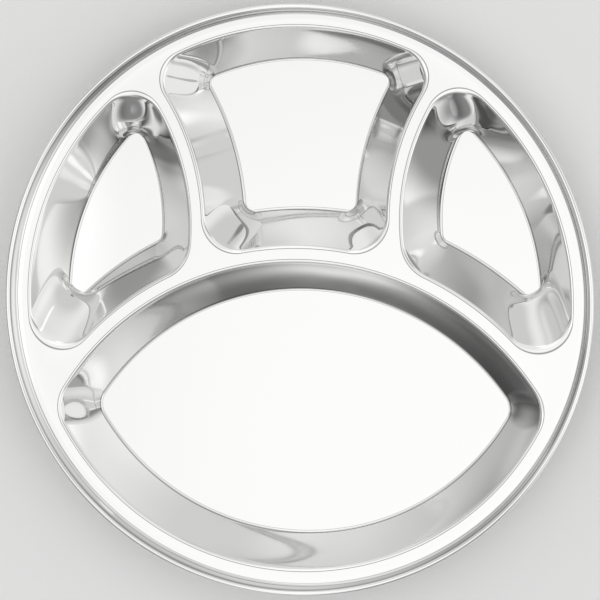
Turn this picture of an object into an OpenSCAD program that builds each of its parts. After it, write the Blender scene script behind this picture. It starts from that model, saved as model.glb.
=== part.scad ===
// Round thali plate pressed from one stainless steel sheet: a flat land with four drafted wells
// and a raised rim that ends in a rolled bead. The plate stands on its well floors at z = 0,
// with its centre on the z axis and the middle top well towards +Y.

/* [Plate] */
// Diameter over the rolled bead
plate_d = 320; // [300:1:350]
// Thickness of the pressed sheet
sheet_t = 0.6; // [0.5:0.05:1.0]
// Depth of the wells, from the land to their floors
well_depth = 22.5; // [20:0.5:30]

/* [Rim] */
// Height of the bead above the land
rim_rise = 7.5; // [6:0.25:10]
// Width of the rim in plan, from the foot of its slope to the outside of the bead
rim_w = 6; // [5.5:0.1:7.5]
// Radius of the rolled bead
bead_r = 1.7; // [1.5:0.05:2]
// Radius of the fillet at the foot of the rim's slope
rim_foot_r = 1.6; // [1:0.1:2]
// How far the bead is rolled past its top, in degrees
bead_turn = 205; // [150:5:210]

/* [Land] */
// Width of the flat ring outside the three small wells
flange_w = 4.9; // [3:0.1:8]
// Width of the flat ring outside the main well
main_flange_w = 5.8; // [3:0.1:8]
// Width of the land between the centre well and each side well
side_divider_w = 4.8; // [3:0.1:8]
// Width of the land between the main well and the other wells
main_divider_w = 5.2; // [3:0.1:8]

/* [Dividers] */
// Radius of the arc that each side divider follows
side_arc_r = 128.2; // [120:0.2:134]
// Distance of that arc's centre from the plate's line of symmetry
side_arc_x = 182; // [176:0.5:188]
// How far that arc's centre lies above the plate's centre
side_arc_y = 43.5; // [36:0.5:50]
// Radius of the main well's upper edge
main_arc_r = 155.1; // [150:0.1:160]
// How far below the plate's centre that edge has its own centre
main_arc_drop = 131.4; // [127:0.2:136]

/* [Walls] */
// Width in plan of the walls below the dividers
divider_wall_w = 21.6; // [18:0.1:23]
// Width in plan of the small wells' walls along the rim
outer_wall_w = 19.4; // [15:0.1:20]
// Width in plan of the main well's wall along the rim
main_outer_wall_w = 18.9; // [15:0.1:20]
// Width in plan of the main well's upper wall
main_upper_wall_w = 19.6; // [16:0.1:22]
// Radius of the bend from the land into a wall
edge_r = 2.6; // [1.2:0.1:3]
// Radius of the bend from a wall into a floor
floor_edge_r = 1.8; // [1:0.1:4]
// How far the middle of a wall lies below a straight slope
wall_hollow = 0.2; // [0:0.05:0.6]

/* [Corners at the land] */
// Corners of the centre well beside the rim
centre_rim_corner_r = 16; // [12:0.5:20]
// Corners of the centre well beside the main well
centre_main_corner_r = 19; // [14:0.5:22]
// Upper tips of the side wells
side_tip_r = 18; // [14:0.5:20]
// Corners of the side wells where three wells meet
side_inner_corner_r = 22; // [16:0.5:24]
// Lower outer corners of the side wells
side_outer_corner_r = 18.5; // [14:0.5:20]
// Ends of the main well
main_end_r = 21; // [16:0.5:26]

/* [Corners at the floor] */
// Corners of the three small wells
small_floor_corner_r = 3.5; // [2:0.5:6]
// Ends of the main well
main_floor_end_r = 10; // [4:0.5:12]

/* [Corners between land and floor] */
// Power of the change in the corners' radii down the walls: 1 is even, more keeps it for the foot
corner_hold = 3.5; // [1:0.5:4]

/* [Hidden] */

steel = [0.80, 0.81, 0.82];

// Steps along one side of a well, round one corner, round one bend of the sheet, down a wall
// between its bends, round the bead and round the whole plate
side_steps = 24;
corner_steps = 9;
bend_steps = 4;
wall_steps = 4;
bead_steps = 30;
circle_steps = 180;

plate_r = plate_d / 2;
land_r = plate_r - rim_w;
land_z = sheet_t + well_depth;
small_edge_r = land_r - flange_w;
main_edge_r = land_r - main_flange_w;
main_arc_c = [0, -main_arc_drop];

// A side of a well lies on a circle: [centre, radius, sense, width of its wall in plan].
// The sense is 1 where the well lies inside the circle and -1 where it lies outside.
function side(centre, radius, sense, wall_w) = [centre, radius, sense, wall_w];

function rim_side(radius, wall_w) = side([0, 0], radius, 1, wall_w);

function divider_side(hand, sense) =
    side([hand * side_arc_x, side_arc_y], side_arc_r - sense * side_divider_w / 2, sense, divider_wall_w);

small_main_side = side(main_arc_c, main_arc_r + main_divider_w, -1, divider_wall_w);
main_upper_side = side(main_arc_c, main_arc_r, 1, main_upper_wall_w);

// A corner follows the side of the same number: [radius at the land, radius at the floor, turn].
// The turn is 1 or -1 and picks one of the two points where the circles of its sides cross.
// Sides and corners run anticlockwise round the well.
centre_sides = [
    rim_side(small_edge_r, outer_wall_w),
    divider_side(-1, -1),
    small_main_side,
    divider_side(1, -1)
];
centre_corners = [
    [centre_rim_corner_r, small_floor_corner_r, -1],
    [centre_main_corner_r, small_floor_corner_r, 1],
    [centre_main_corner_r, small_floor_corner_r, 1],
    [centre_rim_corner_r, small_floor_corner_r, -1]
];

// The left well; the right well is its mirror image.
left_sides = [rim_side(small_edge_r, outer_wall_w), small_main_side, divider_side(-1, 1)];
left_corners = [
    [side_outer_corner_r, small_floor_corner_r, -1],
    [side_inner_corner_r, small_floor_corner_r, -1],
    [side_tip_r, small_floor_corner_r, 1]
];

main_sides = [rim_side(main_edge_r, main_outer_wall_w), main_upper_side];
main_corners = [
    [main_end_r, main_floor_end_r, 1],
    [main_end_r, main_floor_end_r, 1]
];

function length_of(v) = sqrt(v * v);
function mix(a, b, share) = a + (b - a) * share;
function angle_of(v) = atan2(v[1], v[0]);
// The shorter way round from angle a to angle b
function turn_to(a, b) = (b - a + 540) % 360 - 180;

// Where two circles cross, on the left of the line of centres for turn 1, on the right for -1
function crossing(c0, r0, c1, r1, turn) =
    let (
        span = length_of(c1 - c0),
        way = (c1 - c0) / span,
        along = (r0 * r0 - r1 * r1 + span * span) / (2 * span),
        across = sqrt(max(0, r0 * r0 - along * along))
    )
    c0 + way * along + turn * across * [-way[1], way[0]];

// A side's radius when it is moved into the well by a distance
function inset_radius(s, distance) = s[1] - s[2] * distance;

// The outline of a well, moved in by a share of each wall's width
function outline(sides, corners, share) =
    let (
        n = len(sides),
        radii = [for (s = sides) inset_radius(s, s[3] * share)],
        corner_r = [for (c = corners) mix(c[0], c[1], pow(share, corner_hold))],
        centres = [for (i = [0:n - 1]) let (j = (i + 1) % n) crossing(
            sides[i][0], radii[i] - sides[i][2] * corner_r[i],
            sides[j][0], radii[j] - sides[j][2] * corner_r[i], corners[i][2])],
        touch = function (i, c) sides[i][0] + (c - sides[i][0]) * radii[i] / length_of(c - sides[i][0])
    )
    [for (i = [0:n - 1]) let (
        j = (i + 1) % n,
        start = touch(i, centres[(i + n - 1) % n]),
        end = touch(i, centres[i]),
        next = touch(j, centres[i]),
        a = angle_of(start - sides[i][0]),
        da = turn_to(a, angle_of(end - sides[i][0])),
        b = angle_of(end - centres[i]),
        db = turn_to(b, angle_of(next - centres[i])))
        each concat(
            [for (k = [0:side_steps - 1]) sides[i][0] + radii[i] * arm(a + da * k / side_steps)],
            [for (k = [0:corner_steps - 1]) centres[i] + corner_r[i] * arm(b + db * k / corner_steps)])
    ];

function arm(angle) = [cos(angle), sin(angle)];

// The slope between two opposite bends, of radii that add up to r, over a run and a rise
function slope_angle(run, rise, r) =
    atan2(rise - r, run) + atan2(r, sqrt(run * run + (rise - r) * (rise - r) - r * r));

// Section of a well's wall: [distance in from the edge, height above the land], over a wall of
// width w. The upper face starts at the land, and the lower face lies one sheet below it.
function wall_section(w, below) =
    let (
        slope = slope_angle(w, well_depth, edge_r + floor_edge_r),
        top_r = edge_r - below,
        foot_r = floor_edge_r + below,
        down = -wall_hollow * [sin(slope), cos(slope)],
        top_bend = [for (k = [0:bend_steps]) let (a = slope * k / bend_steps)
            [top_r * sin(a), top_r * cos(a) - edge_r]],
        foot_bend = [for (k = [bend_steps:-1:0]) let (a = slope * k / bend_steps)
            [w - foot_r * sin(a), floor_edge_r - well_depth - foot_r * cos(a)]]
    )
    concat(
        top_bend,
        [for (k = [1:wall_steps - 1]) let (share = k / wall_steps)
            mix(top_bend[bend_steps], foot_bend[0], share) + down * 4 * share * (1 - share)],
        foot_bend
    );

// The rings of one face of a well, from the land down to the floor
function rings(sides, corners, below) =
    let (w = (sides[0][3] + sides[1][3]) / 2)
    [for (p = wall_section(w, below))
        [for (q = outline(sides, corners, p[0] / w)) [q[0], q[1], land_z + p[1]]]];

function reversed(list) = [for (i = [len(list) - 1:-1:0]) list[i]];

// A closed skin through rings of points: up the inside of the well, then down its outside
module well(sides, corners) {
    loops = concat(reversed(rings(sides, corners, 0)), rings(sides, corners, sheet_t));
    count = len(loops[0]);
    last = len(loops) - 1;
    polyhedron(
        points = [for (loop = loops) each loop],
        faces = concat(
            [[for (i = [count - 1:-1:0]) i]],
            [for (k = [0:last - 1], i = [0:count - 1], half = [0, 1])
                let (
                    j = (i + 1) % count,
                    a = k * count + i,
                    b = k * count + j
                )
                half == 0 ? [a, b, b + count] : [a, b + count, a + count]],
            [[for (i = [0:count - 1]) last * count + i]]
        ),
        convexity = 8
    );
}

// Section of the rim: a fillet up from the land, a steep slope, and the bead rolled over at its top
function rim_face(below) =
    let (
        run = rim_w - bead_r,
        slope = slope_angle(run, rim_rise, bead_r + rim_foot_r),
        low_r = rim_foot_r + below,
        high_r = bead_r - below
    )
    concat(
        [for (k = [0:bend_steps]) let (a = slope * k / bend_steps)
            [land_r + low_r * sin(a), rim_foot_r - low_r * cos(a)]],
        [for (k = [0:bead_steps]) let (a = slope - (slope + bead_turn) * k / bead_steps)
            [land_r + run - high_r * sin(a), rim_rise - bead_r + high_r * cos(a)]]
    );

module land() {
    color(steel)
    translate([0, 0, land_z - sheet_t])
    linear_extrude(sheet_t)
    difference() {
        circle(land_r, $fn = circle_steps);
        polygon(outline(centre_sides, centre_corners, 0));
        for (hand = [0, 1]) mirror([hand, 0, 0]) polygon(outline(left_sides, left_corners, 0));
        polygon(outline(main_sides, main_corners, 0));
    }
}

module rolled_rim() {
    color(steel)
    translate([0, 0, land_z])
    rotate_extrude($fn = circle_steps)
    polygon(concat(rim_face(0), reversed(rim_face(sheet_t))));
}

module centre_well() {
    color(steel) well(centre_sides, centre_corners);
}

module left_well() {
    color(steel) well(left_sides, left_corners);
}

module right_well() {
    color(steel) mirror([1, 0, 0]) well(left_sides, left_corners);
}

module main_well() {
    color(steel) well(main_sides, main_corners);
}

land();
rolled_rim();
centre_well();
left_well();
right_well();
main_well();
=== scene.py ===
"""A round steel thali plate, photographed from almost straight above on a pale floor."""

import math

import bpy
import numpy as np
from mathutils import Matrix, Vector
from mathutils.geometry import delaunay_2d_cdt
from mathutils.kdtree import KDTree


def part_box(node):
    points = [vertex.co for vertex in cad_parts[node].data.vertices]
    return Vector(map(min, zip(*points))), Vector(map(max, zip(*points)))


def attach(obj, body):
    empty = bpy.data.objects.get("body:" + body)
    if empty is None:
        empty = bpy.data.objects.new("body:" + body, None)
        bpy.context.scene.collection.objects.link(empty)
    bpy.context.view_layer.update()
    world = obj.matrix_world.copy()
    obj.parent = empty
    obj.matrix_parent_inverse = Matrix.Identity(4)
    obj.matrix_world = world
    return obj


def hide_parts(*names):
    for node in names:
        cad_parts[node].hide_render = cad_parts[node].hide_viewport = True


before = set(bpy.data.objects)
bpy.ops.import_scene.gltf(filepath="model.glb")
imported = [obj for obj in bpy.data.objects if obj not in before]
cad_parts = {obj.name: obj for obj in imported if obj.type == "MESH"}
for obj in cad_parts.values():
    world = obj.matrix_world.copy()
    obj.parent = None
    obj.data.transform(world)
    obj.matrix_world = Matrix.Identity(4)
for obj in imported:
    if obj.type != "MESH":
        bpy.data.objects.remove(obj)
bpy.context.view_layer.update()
bpy.context.scene.view_settings.view_transform = "Standard"

# Sizes that the frame gives, in metres
land_low, land_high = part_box("land")
rim_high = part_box("rolled_rim")[1]
SHEET_T = land_high.z - land_low.z
LAND_Z = land_high.z
LAND_R = land_high.x
PLATE_R = rim_high.x
WELL_DEPTH = LAND_Z - SHEET_T
RIM_RISE = rim_high.z - LAND_Z
RIM_W = PLATE_R - LAND_R

# The rim: radius of its bead, radius of the fillet at its foot, and the bead's turn past its top
BEAD_R = 0.0017
RIM_FOOT_R = 0.0016
BEAD_TURN = math.radians(205)

# The land: its width along the rim and between the wells
FLANGE_W = 0.0049
MAIN_FLANGE_W = 0.0058
SIDE_DIVIDER_W = 0.0048
MAIN_DIVIDER_W = 0.0052

# The arcs that the dividers follow
SIDE_ARC_R = 0.1282
SIDE_ARC_X = 0.182
SIDE_ARC_Y = 0.0435
MAIN_ARC_R = 0.1551
MAIN_ARC_DROP = 0.1314

# The walls: their widths in plan and the radii of the bends at their top and foot, where tight
DIVIDER_WALL_W = 0.0216
OUTER_WALL_W = 0.0194
MAIN_OUTER_WALL_W = 0.0189
MAIN_UPPER_WALL_W = 0.0196
EDGE_R = 0.0016
FLOOR_EDGE_R = 0.0011
# A bend's radius is larger by this many radii where it leaves the flat, less so up to this angle
LEAD_IN = 3
LEAD_IN_ANGLE = math.radians(20)
# How much steeper than its middle a wall is at its top, and how much flatter at its foot
TOP_STEEPER = math.radians(2.8)
FOOT_FLATTER = math.radians(0.9)

# Corner radii at the land
CENTRE_RIM_CORNER_R = 0.016
CENTRE_MAIN_CORNER_R = 0.019
SIDE_TIP_R = 0.018
SIDE_INNER_CORNER_R = 0.022
SIDE_OUTER_CORNER_R = 0.0185
MAIN_END_R = 0.021

# Corner radii at the floor
SMALL_FLOOR_CORNER_R = 0.0035
MAIN_FLOOR_END_R = 0.01

# How far down the walls the corners keep their radius, 1 for an even change
CORNER_HOLD = 3.5

# The soft crease inside the flange: where it runs, how wide its bend is, how far the land sinks
# inside it and over what distance
CREASE_R = 0.152
CREASE_W = 0.0012
CREASE_DROP = 0.0003
CREASE_REACH = 0.006

# Steps of the fine meshes. The land's points stand in rows of equal triangles
SIDE_STEPS = 96
CORNER_STEPS = 40
BEND_STEPS = 12
BEND_EASE = 1.4
WALL_STEPS = 16
ROUND_STEPS = 480
BEAD_STEPS = 40
LAND_STEP = 0.0016
LAND_ROW_STEP = LAND_STEP * math.sin(math.radians(60))
CREASE_RINGS = 16
CREASE_RING_STEP = 0.0004
# A hair of flat metal beside each bend, which keeps the shading of the flat true
LIP = 0.00003
# Points nearer to each other than this are one
SAME_PLACE = LIP / 10
# The shading is smooth over edges that bend less than this
SMOOTH_ANGLE = math.radians(50)
# The wells' UV maps: their name and the distance that counts as 1 in them
SECTION_MAP = "section"
UV_UNIT = 0.001
# Where the slope of a wall is looked for, and in how many halvings
SLOPE_RANGE = (math.radians(30), math.radians(75))
SLOPE_TRIES = 30


def arm(angle):
    return Vector((math.cos(angle), math.sin(angle)))


def mix(a, b, share):
    return a + (b - a) * share


def arc(centre, radius, start, turn, steps):
    """Points along an arc that turns from a start angle, all but the last."""
    return [centre + radius * arm(start + turn * k / steps) for k in range(steps)]


def angle_of(v):
    return math.atan2(v.y, v.x)


def turn_to(a, b):
    """The shorter way round from angle a to angle b."""
    return (b - a + 3 * math.pi) % math.tau - math.pi


def smooth(share):
    share = min(max(share, 0.0), 1.0)
    return share * share * (3 - 2 * share)


def crossing(c0, r0, c1, r1, turn):
    """Where two circles cross, on the left of the line of centres for turn 1."""
    span = (c1 - c0).length
    way = (c1 - c0) / span
    along = (r0 * r0 - r1 * r1 + span * span) / (2 * span)
    across = math.sqrt(max(0.0, r0 * r0 - along * along))
    return c0 + way * along + turn * across * Vector((-way.y, way.x))


# A side of a well lies on a circle: (centre, radius, sense, width of its wall in plan).
# The sense is 1 where the well lies inside the circle and -1 where it lies outside.
CENTRE = Vector((0, 0))
MAIN_ARC_C = Vector((0, -MAIN_ARC_DROP))


def rim_side(radius, wall_w):
    return (CENTRE, radius, 1, wall_w)


def divider_side(hand, sense):
    centre = Vector((hand * SIDE_ARC_X, SIDE_ARC_Y))
    return (centre, SIDE_ARC_R - sense * SIDE_DIVIDER_W / 2, sense, DIVIDER_WALL_W)


SMALL_MAIN_SIDE = (MAIN_ARC_C, MAIN_ARC_R + MAIN_DIVIDER_W, -1, DIVIDER_WALL_W)
MAIN_UPPER_SIDE = (MAIN_ARC_C, MAIN_ARC_R, 1, MAIN_UPPER_WALL_W)
SMALL_EDGE_R = LAND_R - FLANGE_W
MAIN_EDGE_R = LAND_R - MAIN_FLANGE_W

# A corner follows the side of the same place: (radius at the land, radius at the floor, turn)
CENTRE_WELL = (
    [
        rim_side(SMALL_EDGE_R, OUTER_WALL_W),
        divider_side(-1, -1),
        SMALL_MAIN_SIDE,
        divider_side(1, -1),
    ],
    [
        (CENTRE_RIM_CORNER_R, SMALL_FLOOR_CORNER_R, -1),
        (CENTRE_MAIN_CORNER_R, SMALL_FLOOR_CORNER_R, 1),
        (CENTRE_MAIN_CORNER_R, SMALL_FLOOR_CORNER_R, 1),
        (CENTRE_RIM_CORNER_R, SMALL_FLOOR_CORNER_R, -1),
    ],
)
LEFT_WELL = (
    [rim_side(SMALL_EDGE_R, OUTER_WALL_W), SMALL_MAIN_SIDE, divider_side(-1, 1)],
    [
        (SIDE_OUTER_CORNER_R, SMALL_FLOOR_CORNER_R, -1),
        (SIDE_INNER_CORNER_R, SMALL_FLOOR_CORNER_R, -1),
        (SIDE_TIP_R, SMALL_FLOOR_CORNER_R, 1),
    ],
)
MAIN_WELL = (
    [rim_side(MAIN_EDGE_R, MAIN_OUTER_WALL_W), MAIN_UPPER_SIDE],
    [(MAIN_END_R, MAIN_FLOOR_END_R, 1), (MAIN_END_R, MAIN_FLOOR_END_R, 1)],
)


def outline(well, share):
    """The outline of a well, moved in by a share of each wall's width."""
    sides, corners = well
    count = len(sides)
    radii = [radius - sense * wall_w * share for _, radius, sense, wall_w in sides]
    tightened = share ** CORNER_HOLD
    corner_radii = [mix(at_land, at_floor, tightened) for at_land, at_floor, _ in corners]
    centres = []
    for i in range(count):
        j = (i + 1) % count
        centres.append(
            crossing(
                sides[i][0],
                radii[i] - sides[i][2] * corner_radii[i],
                sides[j][0],
                radii[j] - sides[j][2] * corner_radii[i],
                corners[i][2],
            )
        )

    def touch(i, corner_centre):
        way = corner_centre - sides[i][0]
        return sides[i][0] + way * radii[i] / way.length

    points = []
    for i in range(count):
        j = (i + 1) % count
        start = touch(i, centres[i - 1])
        end = touch(i, centres[i])
        after = touch(j, centres[i])
        a = angle_of(start - sides[i][0])
        da = turn_to(a, angle_of(end - sides[i][0]))
        b = angle_of(end - centres[i])
        db = turn_to(b, angle_of(after - centres[i]))
        points += arc(sides[i][0], radii[i], a, da, SIDE_STEPS)
        points += arc(centres[i], corner_radii[i], b, db, CORNER_STEPS)
    return points


def slope_angle(run, rise, r):
    """The slope between two opposite bends, of radii that add up to r, over a run and a rise."""
    straight = math.sqrt(run * run + (rise - r) * (rise - r) - r * r)
    return math.atan2(rise - r, run) + math.atan2(r, straight)


def bend(radius, slope):
    """A bend that leaves a flat gently, then tightens: (place, slope there), up to this slope.

    A place is (distance along the flat, height above it).
    """
    place = Vector((0, 0))
    line = [(place, 0.0)]
    for k in range(BEND_STEPS):
        a = slope * (k / BEND_STEPS) ** BEND_EASE
        b = slope * ((k + 1) / BEND_STEPS) ** BEND_EASE
        here = (a + b) / 2
        gentle = 1 + LEAD_IN * max(0.0, 1 - here / LEAD_IN_ANGLE)
        place = place + radius * gentle * (b - a) * Vector((math.cos(here), -math.sin(here)))
        line.append((place, b))
    return line


def wall_slope(slope, share):
    """The slope at a share of the way down a wall, a smooth curve through top, middle and foot."""
    before = (1 - share) * (1 - 2 * share)
    after = share * (2 * share - 1)
    return slope + TOP_STEEPER * before - FOOT_FLATTER * after


def wall_line(width, slope):
    """A wall's upper face, from land to floor: (place, slope there), for this slope at its middle.

    A place is (distance in from the edge, height above the land).
    """
    line = bend(EDGE_R, slope + TOP_STEEPER)
    foot = bend(FLOOR_EDGE_R, slope - FOOT_FLATTER)
    foot_size = foot[-1][0]
    place = line[-1][0]
    step = (width - place.x - foot_size.x) / WALL_STEPS
    for k in range(WALL_STEPS):
        here = wall_slope(slope, (k + 0.5) / WALL_STEPS)
        place = place + Vector((step, -step * math.tan(here)))
        line.append((place, wall_slope(slope, (k + 1) / WALL_STEPS)))
    return line + [(place + foot_size - offset, a) for offset, a in reversed(foot[:-1])]


def wall_section(width, below):
    """Section of a well's wall, at the slope at which it just reaches the floor."""
    low, high = SLOPE_RANGE
    for _ in range(SLOPE_TRIES):
        slope = (low + high) / 2
        if -wall_line(width, slope)[-1][0].y < WELL_DEPTH:
            low = slope
        else:
            high = slope
    line = wall_line(width, slope)
    skin = [place - below * Vector((math.sin(a), math.cos(a))) for place, a in line]
    lip = Vector((LIP, 0))
    return [Vector((0, -below))] + [p + lip for p in skin] + [skin[-1] + 2 * lip]


def sag(x, y):
    """How far the land has sunk at a place inside the flange's crease."""
    inside = CREASE_R - math.hypot(x, y)
    if inside <= 0:
        return 0.0
    ease = smooth(inside / CREASE_W)
    return CREASE_DROP * ease * (1 - math.exp(-inside / CREASE_REACH))


def settled(point, height):
    """A point of the sheet, sunk with the land around it and less so towards the floor."""
    share = 1 + height / WELL_DEPTH
    return (point.x, point.y, LAND_Z + height - sag(point.x, point.y) * max(0.0, share))


def mean_width(well):
    """The mean width in plan of a well's first two walls, which its section is made for."""
    first, second = [wall_w for _, _, _, wall_w in well[0][:2]]
    return (first + second) / 2


def rings(well, below):
    """The rings of one face of a well, from the land down to the floor."""
    width = mean_width(well)
    section = wall_section(width, below)
    return [[settled(q, p.y) for q in outline(well, p.x / width)] for p in section]


def select_only(piece):
    bpy.ops.object.select_all(action="DESELECT")
    piece.select_set(True)
    bpy.context.view_layer.objects.active = piece


def new_piece(name, points, edges=(), faces=()):
    mesh = bpy.data.meshes.new(name)
    mesh.from_pydata(points, edges, faces)
    piece = bpy.data.objects.new(name, mesh)
    bpy.context.scene.collection.objects.link(piece)
    return piece


def shade(piece):
    """Smooth everywhere but at the sheet's cut edges."""
    select_only(piece)
    bpy.ops.object.shade_smooth_by_angle(angle=SMOOTH_ANGLE)


def mark_section(piece, well, count):
    """A UV map of how far each point lies from the well's edge and from its floor's edge.

    Each ring of the piece has this count of points.
    """
    width = mean_width(well)
    down = [p.x for p in wall_section(width, 0)]
    runs = down[::-1] + down
    marks = piece.data.uv_layers.new(name=SECTION_MAP).data
    for loop, mark in zip(piece.data.loops, marks):
        run = runs[loop.vertex_index // count]
        mark.uv = (run / UV_UNIT, (width - run) / UV_UNIT)


def well_piece(name, well, mirrored=False):
    """A closed skin through rings of points: up the outside of the well, then down its inside."""
    loops = rings(well, SHEET_T)
    loops.reverse()
    loops += rings(well, 0)
    count = len(loops[0])
    hand = -1 if mirrored else 1
    points = [(hand * x, y, z) for loop in loops for x, y, z in loop]
    faces = [list(range(count - 1, -1, -1))]
    for k in range(len(loops) - 1):
        for i in range(count):
            j = (i + 1) % count
            faces.append([k * count + i, k * count + j, (k + 1) * count + j, (k + 1) * count + i])
    last = (len(loops) - 1) * count
    faces.append(list(range(last, last + count)))
    if mirrored:
        faces = [face[::-1] for face in faces]
    piece = new_piece(name, points, faces=faces)
    mark_section(piece, well, count)
    shade(piece)
    return piece


def rim_face(below):
    """One face of the rim's section: fillet, slope and bead, as (radius, height above the land)."""
    run = RIM_W - BEAD_R
    slope = slope_angle(run, RIM_RISE, BEAD_R + RIM_FOOT_R)
    low_r = RIM_FOOT_R + below
    high_r = BEAD_R - below
    bead_out = LAND_R + run
    bead_up = RIM_RISE - BEAD_R
    points = [(LAND_R, -below)]
    for k in range(BEND_STEPS + 1):
        a = slope * k / BEND_STEPS
        points.append((LAND_R + LIP + low_r * math.sin(a), RIM_FOOT_R - low_r * math.cos(a)))
    for k in range(BEAD_STEPS + 1):
        a = slope - (slope + BEAD_TURN) * k / BEAD_STEPS
        points.append((bead_out - high_r * math.sin(a), bead_up + high_r * math.cos(a)))
    return points


def rim_piece():
    """The rim's section, spun round the plate's axis."""
    section = rim_face(0) + rim_face(SHEET_T)[::-1]
    points = [(radius, 0, LAND_Z + height) for radius, height in section]
    edges = [(i, (i + 1) % len(points)) for i in range(len(points))]
    piece = new_piece("rim_skin", points, edges=edges)
    select_only(piece)
    bpy.ops.object.mode_set(mode="EDIT")
    bpy.ops.mesh.select_all(action="SELECT")
    bpy.ops.mesh.spin(steps=ROUND_STEPS, angle=math.tau, center=(0, 0, 0), axis=(0, 0, 1))
    bpy.ops.mesh.select_all(action="SELECT")
    bpy.ops.mesh.remove_doubles(threshold=SAME_PLACE)
    bpy.ops.mesh.normals_make_consistent(inside=False)
    bpy.ops.object.mode_set(mode="OBJECT")
    shade(piece)
    return piece


def land_lines():
    """The land's edges in plan: its border and the four wells' outlines, each a closed line."""
    left = outline(LEFT_WELL, 0)
    right = [Vector((-p.x, p.y)) for p in reversed(left)]
    border = arc(CENTRE, LAND_R, 0, math.tau, ROUND_STEPS)
    return [border, outline(CENTRE_WELL, 0), left, right, outline(MAIN_WELL, 0)]


def enclosed(points, line):
    """Which of the points lie within a closed line, as an array of truth values."""
    x, y = np.array(points).T
    inside = np.zeros(len(points), bool)
    for a, b in zip(line, line[1:] + line[:1]):
        if a.y != b.y:
            beside = (a.y > y) != (b.y > y)
            inside ^= beside & (x < a.x + (b.x - a.x) * (y - a.y) / (b.y - a.y))
    return inside


def land_fill():
    """Places spread over the land: rings along its border, where it creases, and rows elsewhere.

    Every other ring and row is moved on by half a step.
    """
    fill = []
    for k in range(1, CREASE_RINGS + 1):
        radius = LAND_R - k * CREASE_RING_STEP
        fill += [radius * arm(math.tau * (i + k % 2 / 2) / ROUND_STEPS) for i in range(ROUND_STEPS)]
    inner_r = LAND_R - (CREASE_RINGS + 1) * CREASE_RING_STEP
    rows = int(inner_r / LAND_ROW_STEP)
    for row in range(-rows, rows + 1):
        for column in range(-rows, rows + 1):
            p = Vector(((column + row % 2 / 2) * LAND_STEP, row * LAND_ROW_STEP))
            if p.length < inner_r:
                fill.append(p)
    return fill


# Asks the triangulation for the triangles within the border alone
INSIDE_ONLY = 1


def land_piece():
    """The land: one sheet with the wells cut out of it, sunk inside its crease, then thickened."""
    lines = land_lines()
    points = [p for line in lines for p in line]
    loops = []
    for line in lines:
        first = sum(len(loop) for loop in loops)
        loops.append(list(range(first, first + len(line))))
    near = KDTree(len(points))
    for i, p in enumerate(points):
        near.insert(p.to_3d(), i)
    near.balance()
    fill = land_fill()
    lost = np.logical_or.reduce([enclosed(fill, line) for line in lines[1:]])
    for p, gone in zip(fill, lost):
        if not gone and near.find(p.to_3d())[2] > CREASE_RING_STEP:
            points.append(p)
    places, _, faces, _, _, parents = delaunay_2d_cdt(points, [], loops, INSIDE_ONLY, SAME_PLACE)
    piece = new_piece(
        "land_skin",
        [settled(p, 0) for p in places],
        faces=[face for face, parent in zip(faces, parents) if parent == [0]],
    )
    thickness = piece.modifiers.new("sheet", "SOLIDIFY")
    thickness.thickness = SHEET_T
    thickness.offset = -1
    select_only(piece)
    bpy.ops.object.modifier_apply(modifier=thickness.name)
    shade(piece)
    return piece


pieces = {
    "land": land_piece(),
    "rolled_rim": rim_piece(),
    "centre_well": well_piece("centre_well_skin", CENTRE_WELL),
    "left_well": well_piece("left_well_skin", LEFT_WELL),
    "right_well": well_piece("right_well_skin", LEFT_WELL, mirrored=True),
    "main_well": well_piece("main_well_skin", MAIN_WELL),
}
for node, piece in pieces.items():
    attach(piece, "root")
    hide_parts(node)

# The camera: nearly overhead, leaning towards the upper right of the picture
CAMERA_DISTANCE = 1.1891
CAMERA_TILT = 0.18853
CAMERA_AZIMUTH = 0.60765
CAMERA_ROLL = -0.01126
CAMERA_AIM = Vector((0.00253, 0.00141, LAND_Z))
CAMERA_LENS = 132.45


def toward(azimuth, tilt):
    """The direction at an azimuth and at a tilt from overhead."""
    reach = math.sin(tilt)
    return Vector((reach * math.cos(azimuth), reach * math.sin(azimuth), math.cos(tilt)))


def camera():
    away = toward(CAMERA_AZIMUTH, CAMERA_TILT)
    right = Vector((0, 1, 0)).cross(away).normalized()
    up = away.cross(right)
    cosine, sine = math.cos(CAMERA_ROLL), math.sin(CAMERA_ROLL)
    axes = Matrix((right * cosine + up * sine, up * cosine - right * sine, away)).transposed()
    data = bpy.data.cameras.new("camera")
    data.lens = CAMERA_LENS
    piece = bpy.data.objects.new("camera", data)
    piece.matrix_world = Matrix.Translation(CAMERA_AIM + away * CAMERA_DISTANCE) @ axes.to_4x4()
    bpy.context.scene.collection.objects.link(piece)
    bpy.context.scene.camera = piece


camera()


def node_maker(tree):
    """Short way to add a shader node, set its settings and feed its sockets.

    A socket goes by its name, with _ for each space, or by i and its number.
    """

    def add(kind, settings=None, **sockets):
        node = tree.nodes.new(kind)
        for key, value in (settings or {}).items():
            setattr(node, key, value)
        for key, value in sockets.items():
            by_number = key[0] == "i" and key[1:].isdigit()
            socket = node.inputs[int(key[1:]) if by_number else key.replace("_", " ")]
            if isinstance(value, bpy.types.NodeSocket):
                tree.links.new(value, socket)
            else:
                socket.default_value = value
        return node

    return add


def new_material(name):
    """A material without nodes, and the short way to add them."""
    material = bpy.data.materials.new(name)
    material.use_nodes = True
    material.node_tree.nodes.clear()
    return material, node_maker(material.node_tree)


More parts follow.
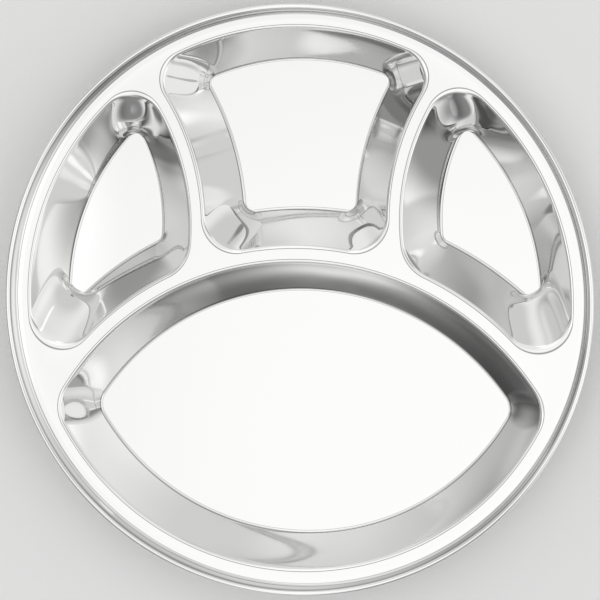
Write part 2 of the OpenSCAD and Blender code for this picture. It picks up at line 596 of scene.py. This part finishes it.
# The room: a white tent with soft-edged patches of another brightness. In degrees where they are
# angles: (azimuth, tilt from overhead, turn, half height, half width, softness, brightness)
TENT_COLOUR = (1, 1, 1, 1)
TENT_LIGHT = 1.04
PATCHES = [
    (206, 56, 14, 21.4, 42, 0.27, 0.15),
    (27, 30, 99, 10.3, 12.8, 0.46, 0.47),
    (284, 54, 81, 19, 27.2, 0.43, 0.32),
    (265, 53, 160, 18, 31.5, 0.08, 1.48),
    (147, 54, 104, 19.7, 25.8, 0.52, 0.48),
    (240, 75, 0, 7.7, 44.8, 0.23, 0.28),
    (193, 52, 15, 17, 44.5, 0.08, 1.50),
    (63, 65, 95, 36.5, 19.7, 0.28, 0.74),
    (199, 50, 148, 25.9, 12.7, 0.18, 1.50),
    (284, 67, 160, 6.1, 27.9, 0.63, 0.24),
    (196, 21, 16, 5.6, 4, 0.36, 1.45),
    (181, 33, 89, 6.1, 6, 0.21, 0.41),
    (232, 61, 173, 3.4, 17.4, 0.26, 1.50),
    (248, 74, 167, 3.4, 10.1, 0.11, 1.50),
    (332, 62, 124, 9.1, 6.2, 0.63, 1.50),
    (236, 74, 178, 5.1, 21.6, 0.12, 1.50),
    (209, 60, 7, 24.3, 9.6, 0.13, 1.50),
    (254, 13, 51, 16.6, 11.8, 0.65, 1.28),
    (47, 39, 21, 8.7, 2.9, 0.08, 1.41),
    (355, 49, 2, 11.1, 16.9, 0.95, 1.37),
    (345, 76, 160, 5.9, 3.1, 0.14, 0.57),
    (131, 23, 82, 8.7, 13.8, 0.22, 1.26),
    (285, 69, 36, 6.8, 10.5, 0.09, 1.50),
    (215, 77, 18, 5.1, 13.3, 0.08, 1.50),
    (106, 33, 123, 5.9, 4.5, 0.09, 1.50),
    (136, 52, 29, 13.7, 9.4, 0.38, 1.47),
    (181, 48, 39, 3.8, 11.3, 0.18, 1.48),
    (184, 67, 180, 6.7, 16.5, 0.31, 1.46),
    (72, 78, 178, 4.5, 5.1, 0.38, 0.39),
    (158, 41, 0, 4.5, 5.3, 0.40, 1.30),
    (215, 11, 0, 9, 9, 0.5, 0.95),
]


def room():
    """The world: a white tent with its patches."""
    world = bpy.data.worlds.new("tent")
    world.use_nodes = True
    bpy.context.scene.world = world
    tree = world.node_tree
    tree.nodes.clear()
    add = node_maker(tree)
    way = add("ShaderNodeTexCoord").outputs["Generated"]
    light = TENT_LIGHT
    for azimuth, tilt, turn, half_height, half_width, softness, brightness in PATCHES:
        centre = toward(math.radians(azimuth), math.radians(tilt))
        outward = toward(math.radians(azimuth), math.radians(tilt + 90))
        axes = Matrix((outward, centre.cross(outward), centre)).transposed()
        near = add(
            "ShaderNodeMapping",
            {"vector_type": "TEXTURE"},
            Vector=way,
            Location=centre,
            Rotation=(axes @ Matrix.Rotation(math.radians(turn), 3, "Z")).to_euler(),
            Scale=(math.sin(math.radians(half_height)), math.sin(math.radians(half_width)), 1),
        )
        far = add("ShaderNodeVectorMath", {"operation": "LENGTH"}, i0=near.outputs[0])
        shade_here = add(
            "ShaderNodeMapRange",
            {"interpolation_type": "SMOOTHSTEP"},
            Value=far.outputs["Value"],
            From_Min=1 - softness,
            From_Max=1 + softness,
            To_Min=brightness,
            To_Max=1.0,
        )
        lit = add(
            "ShaderNodeMath",
            {"operation": "MULTIPLY"},
            i0=light,
            i1=shade_here.outputs["Result"],
        )
        light = lit.outputs[0]
    tent = add("ShaderNodeBackground", Color=TENT_COLOUR, Strength=light)
    add("ShaderNodeOutputWorld", Surface=tent.outputs[0])


room()


# The steel: its colour and roughness
STEEL_COLOUR = (0.77, 0.77, 0.765, 1)
STEEL_ROUGHNESS = (0.03, 0.06)

# Noise on it: the sheet's faint waviness, fine polishing marks, and wear that sets the roughness
WAVES = {"Scale": 28.0, "Detail": 1.0, "Roughness": 0.4}
WAVE_HEIGHT = 0.00004
WAVE_STRENGTH = 1.0
MARKS = {"Scale": 900.0, "Detail": 2.0, "Roughness": 0.6}
MARK_HEIGHT = 0.0000004
MARK_STRENGTH = 0.5
WEAR = {"Scale": 60.0, "Detail": 4.0}
WEAR_RANGE = (0.3, 0.7)

# Thin dark lines painted into the steel's colour, painted reflections of the sheet's tight bends:
# measured from a well's edge at the land (0), from its floor (1) or from the plate's axis (2), from
# and to in millimetres, and their colour
PAINTED_REFLECTION_LINES = [
    (0, 0.0, 0.7, 0.22),
    (1, 0.0, 0.55, 0.4),
    (1, 1.2, 2.0, 0.26),
    (2, 154.0, 154.8, 0.5),
    (2, 156.2, 157.2, 0.42),
]


def paint_reflection_line(add, colour, distance, start, end, grey):
    """A colour with a painted reflection line of grey over it, from one distance to another, soft
    at both edges.
    """
    from_middle = add(
        "ShaderNodeMath",
        {"operation": "SUBTRACT"},
        i0=distance,
        i1=(start + end) / 2,
    )
    off_middle = add("ShaderNodeMath", {"operation": "ABSOLUTE"}, i0=from_middle.outputs[0])
    band = add(
        "ShaderNodeMapRange",
        {"interpolation_type": "SMOOTHSTEP"},
        Value=off_middle.outputs[0],
        From_Min=0.0,
        From_Max=(end - start) / 2,
        To_Min=1.0,
        To_Max=0.0,
    )
    # A mix node's colours are its inputs 6 and 7, and its output 2
    mixed = add(
        "ShaderNodeMix",
        {"data_type": "RGBA"},
        Factor=band.outputs["Result"],
        i6=colour,
        i7=(grey, grey, grey, 1),
    )
    return mixed.outputs[2]


def steel():
    """Mirror polished steel: faint waviness of the sheet, fine polishing marks, small wear, and
    thin dark lines of painted reflection in its colour.
    """
    material, add = new_material("polished_steel")
    place = add("ShaderNodeTexCoord").outputs["Object"]
    waves = add("ShaderNodeTexNoise", Vector=place, **WAVES)
    marks = add("ShaderNodeTexNoise", Vector=place, **MARKS)
    wear = add("ShaderNodeTexNoise", Vector=place, **WEAR)
    rough = add(
        "ShaderNodeMapRange",
        Value=wear.outputs["Fac"],
        From_Min=WEAR_RANGE[0],
        From_Max=WEAR_RANGE[1],
        To_Min=STEEL_ROUGHNESS[0],
        To_Max=STEEL_ROUGHNESS[1],
    )
    wavy = add(
        "ShaderNodeBump",
        Height=waves.outputs["Fac"],
        Strength=WAVE_STRENGTH,
        Distance=WAVE_HEIGHT,
    )
    grain = add(
        "ShaderNodeBump",
        Height=marks.outputs["Fac"],
        Strength=MARK_STRENGTH,
        Distance=MARK_HEIGHT,
        Normal=wavy.outputs[0],
    )
    section = add("ShaderNodeUVMap", {"uv_map": SECTION_MAP})
    across = add("ShaderNodeSeparateXYZ", Vector=section.outputs[0])
    in_plan = add(
        "ShaderNodeVectorMath",
        {"operation": "MULTIPLY"},
        i0=place,
        i1=(1 / UV_UNIT, 1 / UV_UNIT, 0),
    )
    radius = add("ShaderNodeVectorMath", {"operation": "LENGTH"}, i0=in_plan.outputs[0])
    distances = [across.outputs[0], across.outputs[1], radius.outputs["Value"]]
    colour = STEEL_COLOUR
    # Painted reflection lines: thin darker bands laid over the steel's own colour at the bends and
    # on the rim
    for axis, start, end, grey in PAINTED_REFLECTION_LINES:
        colour = paint_reflection_line(add, colour, distances[axis], start, end, grey)
    skin = add(
        "ShaderNodeBsdfPrincipled",
        Base_Color=colour,
        Metallic=1.0,
        Roughness=rough.outputs["Result"],
        Normal=grain.outputs[0],
    )
    add("ShaderNodeOutputMaterial", Surface=skin.outputs[0])
    return material


polished_steel = steel()
for piece in pieces.values():
    piece.data.materials.clear()
    piece.data.materials.append(polished_steel)


# The floor that the plate stands on, a hair below it so that their faces don't coincide
FLOOR_W = 6.0
FLOOR_GAP = 0.00005
FLOOR_COLOUR = (0.86, 0.86, 0.855, 1)
FLOOR_ROUGHNESS = 0.7
FLOOR_GRAIN = {"Scale": 400.0, "Detail": 3.0}
FLOOR_GRAIN_HEIGHT = 0.0002
FLOOR_GRAIN_STRENGTH = 0.2


def floor():
    bpy.ops.object.select_all(action="DESELECT")
    bpy.ops.mesh.primitive_plane_add(size=FLOOR_W, location=(0, 0, -FLOOR_GAP))
    piece = bpy.context.active_object
    piece.name = "floor"
    material, add = new_material("pale_floor")
    place = add("ShaderNodeTexCoord").outputs["Object"]
    grain = add("ShaderNodeTexNoise", Vector=place, **FLOOR_GRAIN)
    bump = add(
        "ShaderNodeBump",
        Height=grain.outputs["Fac"],
        Strength=FLOOR_GRAIN_STRENGTH,
        Distance=FLOOR_GRAIN_HEIGHT,
    )
    paint = add(
        "ShaderNodeBsdfPrincipled",
        Base_Color=FLOOR_COLOUR,
        Roughness=FLOOR_ROUGHNESS,
        Normal=bump.outputs[0],
    )
    add("ShaderNodeOutputMaterial", Surface=paint.outputs[0])
    piece.data.materials.append(material)


floor()
